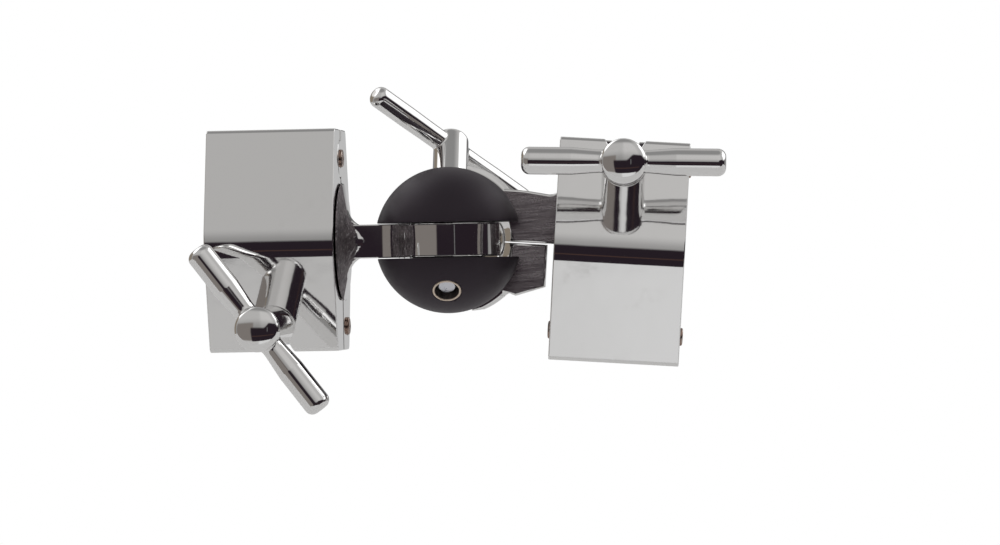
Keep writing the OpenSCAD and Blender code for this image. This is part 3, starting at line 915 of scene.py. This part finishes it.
def draw_handle():
    """Hub and bar of the T-handle."""
    bore_r = SHANK_R + DRAW_SLACK
    bar_sizes = (DRAW_BAR_L / 2, DRAW_BAR_R, DRAW_NECK_R, DRAW_BAR_AT, DRAW_BAR_TURN)
    hub = bmesh.new()
    outline = [
        (0, DRAW_TOP), (bore_r, DRAW_TOP), (bore_r, DRAW_HUB_FROM + DRAW_SEAT_CUT),
        (SHANK_R + DRAW_SEAT_CUT, DRAW_HUB_FROM), (DRAW_HUB_R, DRAW_HUB_FROM)]
    outline += arc(DRAW_HUB_R - DRAW_HUB_ROUND, DRAW_HUB_END - DRAW_HUB_ROUND, DRAW_HUB_ROUND, 0, 90)
    lathe(hub, outline + [(0, DRAW_HUB_END)])

    def form(p):
        across = np.hypot(p[:, 0], p[:, 1])
        up = p[:, 2]
        low_end = DRAW_HUB_END - DRAW_HUB_OVERLAP
        low = rounded_rod(across, up, DRAW_HUB_R, DRAW_HUB_FROM, low_end, DRAW_FOOT_ROUND)
        high_from = DRAW_HUB_FROM + DRAW_HUB_OVERLAP
        high = rounded_rod(across, up, DRAW_HUB_R, high_from, DRAW_HUB_END, DRAW_HUB_ROUND)
        bore = rounded_rod(across, up, bore_r, DRAW_HUB_FROM - BORE_PAST, DRAW_TOP, BORE_ROUND)
        stem = np.maximum(np.minimum(low, high), -bore)
        return blend(stem, bar_form(p, *bar_sizes), BAR_FILLET)

    fused = fuse("draw_handle", [hub, bar_shell(*bar_sizes)], form)
    fused.transform(DRAW)
    new_piece("tee_handle", fused, "draw_handle", [HANDLE_CHROME])


wing_nut("left")
wing_nut("right")
draw_handle()


# Bolts, insert and pins

def thread_cut(vert, start, end):
    """How deep the thread and the tip's chamfer cut at a point of the shank."""
    z = vert.co.z
    wind = (z / PITCH - math.atan2(vert.co.y, vert.co.x) / (2 * math.pi)) % 1.0
    cut = THREAD_DEPTH * max(0.0, min(1.0, THREAD_CREST - abs(wind - 0.5) * THREAD_FLANK))
    if z - start < TIP_CHAMFER:
        return max(cut, TIP_CHAMFER - (z - start))
    return cut * min(1.0, (end - z) / THREAD_RUN_OUT)


def screw(bm, start, end, plain_to):
    """An M8 shank along Z, with thread that winds up it from start to end, then plain up to plain_to."""
    full = start + TIP_CHAMFER
    rings = int(round((end - start) / PITCH * RINGS_PER_TURN))
    outline = [(0, start), (SHANK_R - TIP_CHAMFER, start)]
    outline += [(SHANK_R, start + TIP_CHAMFER * i / TIP_RINGS) for i in range(TIP_RINGS + 1)]
    outline += [(SHANK_R, full + (end - full) * i / rings) for i in range(1, rings + 1)]
    outline += [(SHANK_R, end + THREAD_STEP_OFF), (SHANK_R, plain_to), (0, plain_to)]
    lathe(bm, outline, SMALL_LATHE_STEPS)
    for vert in bm.verts:
        r = math.hypot(vert.co.x, vert.co.y)
        if r < SHANK_R - ON_SKIN or vert.co.z > end:
            continue
        keep = 1 - thread_cut(vert, start, end) / r
        vert.co.x *= keep
        vert.co.y *= keep


def swing_bolt(side):
    """Eye and threaded shank of a clamp's bolt, in mm about its pivot with Z along the shank."""
    eye = bmesh.new()
    half = BOLT_EYE_HALF
    rim_r = BOLT_EYE_BORE_R + BOLT_EYE_RIM
    cut_r = BOLT_EYE_R - BOLT_EYE_CUT
    lathe(eye, [
        (BOLT_EYE_BORE_R, BOLT_EYE_RIM - half), (rim_r, -half), (cut_r, -half),
        (BOLT_EYE_R, BOLT_EYE_CUT - half), (BOLT_EYE_R, half - BOLT_EYE_CUT),
        (cut_r, half), (rim_r, half), (BOLT_EYE_BORE_R, half - BOLT_EYE_RIM),
        (BOLT_EYE_BORE_R, BOLT_EYE_RIM - half)])
    eye.transform(quarter("Y"))
    eye_mesh = bpy.data.meshes.new("eye")
    eye.to_mesh(eye_mesh)
    eye.free()
    shank = bmesh.new()
    screw(shank, BOLT_TIP, BOLT_THREAD_TO, BOLT_PLAIN_TO)
    shank.from_mesh(eye_mesh)
    bpy.data.meshes.remove(eye_mesh)
    bmesh.ops.recalc_face_normals(shank, faces=shank.faces)
    shank.transform(CLAMP[side] @ Matrix.Translation(PIVOT[side]) @ quarter("X", -1))
    even_shading(new_piece(side + "_eye_bolt", shank, side + "_swing_bolt", [ZINC]))


def draw_bolt():
    """The bolt through the ball; only its chamfered, threaded tip shows in the insert."""
    bm = bmesh.new()
    screw(bm, DRAW_TIP, DRAW_THREAD_TO, DRAW_TOP)
    bm.transform(DRAW)
    even_shading(new_piece("draw_screw", bm, "draw_bolt", [ZINC]))


def insert_ring():
    """Ring of the insert with a small chamfer at its mouth and rings of thread inside; the thread gets the finish
    with painted shade.
    """
    bm = bmesh.new()
    mouth, inner = INSERT_MOUTH, INSERT_BORE_R
    outline = [(INSERT_R, INSERT_IN), (INSERT_R, mouth + INSERT_LIP), (INSERT_LIP_R, mouth)]
    outline += [(INSERT_FACE_R, mouth), (inner + INSERT_CHAMFER[0], mouth + INSERT_CHAMFER[1])]
    z = mouth + INSERT_THREAD_FROM
    while z < INSERT_THREAD_TO:
        outline += [(inner + deep, z + up) for deep, up in INSERT_RING]
        z += PITCH / 2
    lathe(bm, outline + [(inner, INSERT_IN), (INSERT_R, INSERT_IN)])
    # The thread deep in the bore gets the finish with painted shade
    for face in bm.faces:
        at = face.calc_center_median()
        inside = math.hypot(at.x, at.y) < inner + INSERT_SHADE_BORDER[0] and at.z > mouth + INSERT_SHADE_BORDER[1]
        face.material_index = int(inside)
    bm.transform(DRAW)
    even_shading(new_piece("insert_ring", bm, "threaded_insert", [INSERT, THREAD]))


def clamp_pin(side, which, at):
    """A pin with a chamfered rim and a slightly domed, centre-marked end."""
    end = [(r, deep - PIN_HALF) for r, deep in PIN_END]
    bm = bmesh.new()
    lathe(bm, end + [(r, -z) for r, z in reversed(end)], SMALL_LATHE_STEPS)
    rim = bm.faces.layers.float.new("edge")
    for face in bm.faces:
        centre = face.calc_center_median()
        at_end = abs(centre.z) > PIN_HALF - PIN_CUT
        face[rim] = float(at_end and math.hypot(centre.x, centre.y) > PIN_RIM_R)
    bm.transform(CLAMP[side] @ Matrix.Translation(at) @ quarter("Y"))
    even_shading(new_piece(f"{side}_{which}", bm, f"{side}_{which}", [PIN]))


for side in CLAMP:
    swing_bolt(side)
    clamp_pin(side, "hinge_pin", HINGE[side])
    clamp_pin(side, "bolt_pin", PIVOT[side])
draw_bolt()
insert_ring()

add_camera()
add_studio()
add_floor()
bpy.context.scene.view_settings.view_transform = "Standard"
